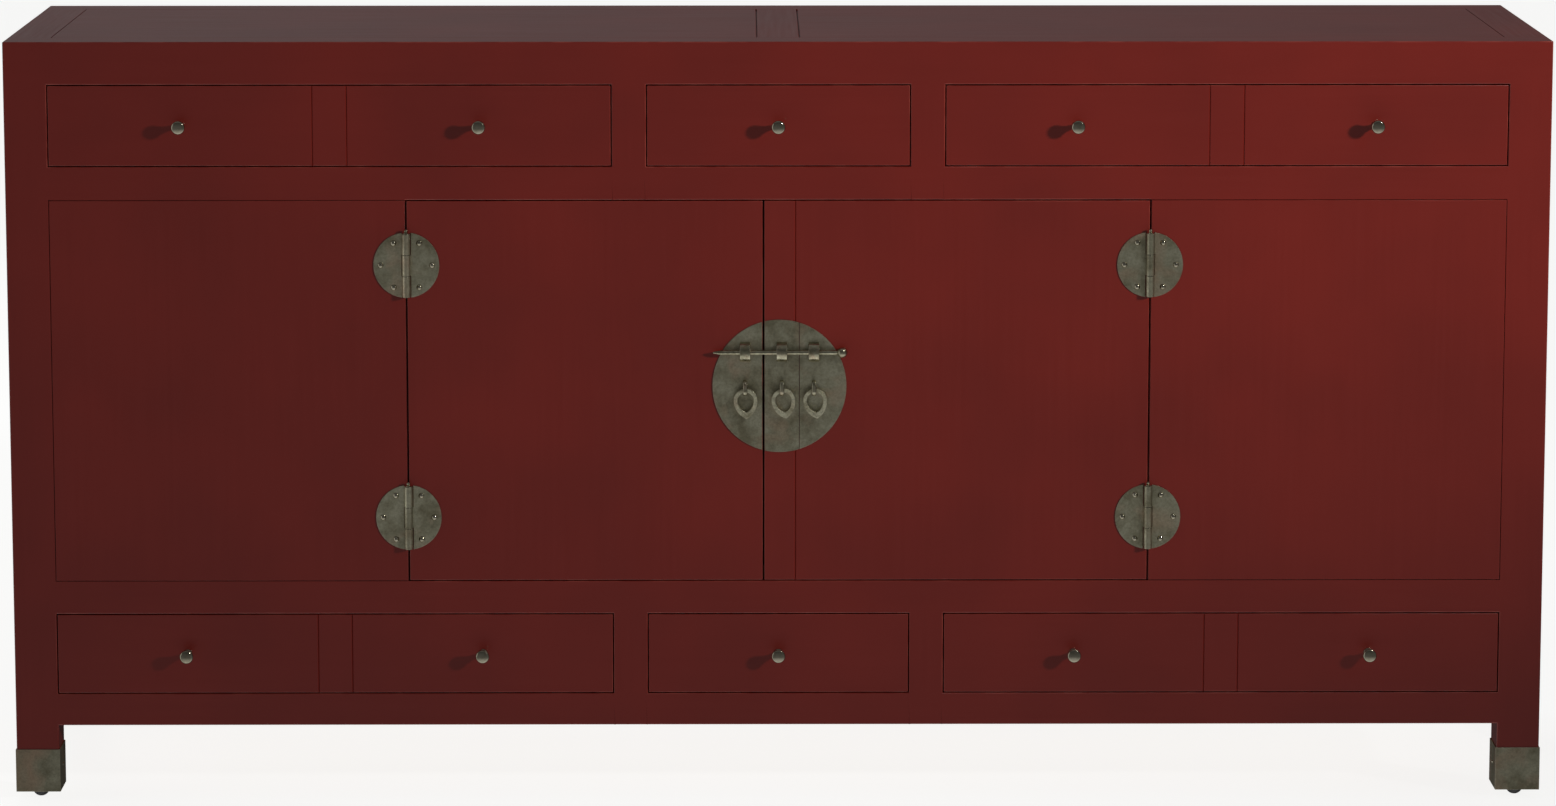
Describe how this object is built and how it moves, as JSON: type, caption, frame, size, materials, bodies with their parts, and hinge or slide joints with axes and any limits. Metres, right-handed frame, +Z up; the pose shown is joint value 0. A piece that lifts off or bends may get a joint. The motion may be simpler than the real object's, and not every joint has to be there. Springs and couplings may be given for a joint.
{
  "type": "sideboard",
  "caption": "Long flush-fronted sideboard on square legs in metal shoes, with drawers above and below hinged doors and fixed panels, a sliding bolt and a round lock plate.",
  "frame": {"origin": "centre of the bounding box's bottom, on the floor under the middle of the sideboard", "axes": "+X to the viewer's right along the length, +Y towards the back, +Z up; the doors and drawers face -Y"},
  "size_m": [1.8026, 0.4732, 0.9],
  "materials": {
    "red_lacquer": "dark red lacquer over wood, satin gloss, slightly worn",
    "bare_wood": "bare planed softwood",
    "aged_metal": "aged grey-green copper-nickel alloy, mottled patina",
    "bright_metal": "the same alloy rubbed bright, on knobs and domed nails",
    "pulls": "the same alloy, cast pulls, half-bright",
    "shoes": "thin sheet of the same alloy, aged and lightly dented",
    "glides": "matte black domed glide"
  },
  "bodies": {
    "carcass": {"front_left_leg": "red_lacquer", "front_right_leg": "red_lacquer", "rear_left_leg": "red_lacquer", "rear_right_leg": "red_lacquer", "top_long_rails": "red_lacquer", "top_side_rails": "red_lacquer", "top_left_panel": "red_lacquer", "top_right_panel": "red_lacquer", "top_batten": "red_lacquer", "upper_front_rail": "red_lacquer", "lower_front_rail": "red_lacquer", "bottom_front_rail": "red_lacquer", "drawer_dividers": "red_lacquer", "fixed_left_panel": "red_lacquer", "fixed_right_panel": "red_lacquer", "side_panels": "red_lacquer", "side_and_rear_rails": "red_lacquer", "back_panel": "red_lacquer", "drawer_decks": "bare_wood", "drawer_guides": "bare_wood", "cabinet_floor": "bare_wood", "shelf": "bare_wood", "shelf_bearers": "bare_wood", "leg_shoes": "shoes", "leg_glides": "glides", "fixed_hinge_leaves": "aged_metal", "hinge_pins": "aged_metal", "fixed_nails": "bright_metal"},
    "left_door_assembly": {"left_door": "red_lacquer", "left_hinge_leaves": "aged_metal", "left_lock_plate": "aged_metal", "left_staple_and_eye": "aged_metal", "left_door_nails": "bright_metal"},
    "right_door_assembly": {"right_door": "red_lacquer", "right_hinge_leaves": "aged_metal", "right_lock_plates": "aged_metal", "right_staples_and_eyes": "aged_metal", "right_door_nails": "bright_metal"},
    "sliding_bolt": {"bolt": "aged_metal"},
    "left_drop_pull": {"left_pull": "pulls"},
    "middle_drop_pull": {"middle_pull": "pulls"},
    "right_drop_pull": {"right_pull": "pulls"},
    "top_left_drawer": {"top_left_front": "red_lacquer", "top_left_box": "bare_wood", "top_left_knobs": "bright_metal"},
    "top_middle_drawer": {"top_middle_front": "red_lacquer", "top_middle_box": "bare_wood", "top_middle_knob": "bright_metal"},
    "top_right_drawer": {"top_right_front": "red_lacquer", "top_right_box": "bare_wood", "top_right_knobs": "bright_metal"},
    "bottom_left_drawer": {"bottom_left_front": "red_lacquer", "bottom_left_box": "bare_wood", "bottom_left_knobs": "bright_metal"},
    "bottom_middle_drawer": {"bottom_middle_front": "red_lacquer", "bottom_middle_box": "bare_wood", "bottom_middle_knob": "bright_metal"},
    "bottom_right_drawer": {"bottom_right_front": "red_lacquer", "bottom_right_box": "bare_wood", "bottom_right_knobs": "bright_metal"}
  },
  "joints": [
    {"name": "left_door_hinge", "type": "hinge", "parent": "carcass", "child": "left_door_assembly", "pos_m": [-0.434, -0.21962, 0.489], "axis": [0, 0, -1], "range_deg": [0, 170]},
    {"name": "right_door_hinge", "type": "hinge", "parent": "carcass", "child": "right_door_assembly", "pos_m": [0.434, -0.21962, 0.489], "axis": [0, 0, 1], "range_deg": [0, 170]},
    {"name": "bolt_slide", "type": "slide", "parent": "right_door_assembly", "child": "sliding_bolt", "axis": [1, 0, 0], "range_m": [0, 0.062]},
    {"name": "left_pull_swing", "type": "hinge", "parent": "left_door_assembly", "child": "left_drop_pull", "pos_m": [-0.039, -0.22232, 0.491], "axis": [-1, 0, 0], "range_deg": [0, 120]},
    {"name": "middle_pull_swing", "type": "hinge", "parent": "right_door_assembly", "child": "middle_drop_pull", "pos_m": [0.004, -0.22232, 0.491], "axis": [-1, 0, 0], "range_deg": [0, 120]},
    {"name": "right_pull_swing", "type": "hinge", "parent": "right_door_assembly", "child": "right_drop_pull", "pos_m": [0.0415, -0.22232, 0.491], "axis": [-1, 0, 0], "range_deg": [0, 120]},
    {"name": "top_left_drawer_slide", "type": "slide", "parent": "carcass", "child": "top_left_drawer", "axis": [0, -1, 0], "range_m": [0, 0.3]},
    {"name": "top_middle_drawer_slide", "type": "slide", "parent": "carcass", "child": "top_middle_drawer", "axis": [0, -1, 0], "range_m": [0, 0.3]},
    {"name": "top_right_drawer_slide", "type": "slide", "parent": "carcass", "child": "top_right_drawer", "axis": [0, -1, 0], "range_m": [0, 0.3]},
    {"name": "bottom_left_drawer_slide", "type": "slide", "parent": "carcass", "child": "bottom_left_drawer", "axis": [0, -1, 0], "range_m": [0, 0.3]},
    {"name": "bottom_middle_drawer_slide", "type": "slide", "parent": "carcass", "child": "bottom_middle_drawer", "axis": [0, -1, 0], "range_m": [0, 0.3]},
    {"name": "bottom_right_drawer_slide", "type": "slide", "parent": "carcass", "child": "bottom_right_drawer", "axis": [0, -1, 0], "range_m": [0, 0.3]}
  ]
}
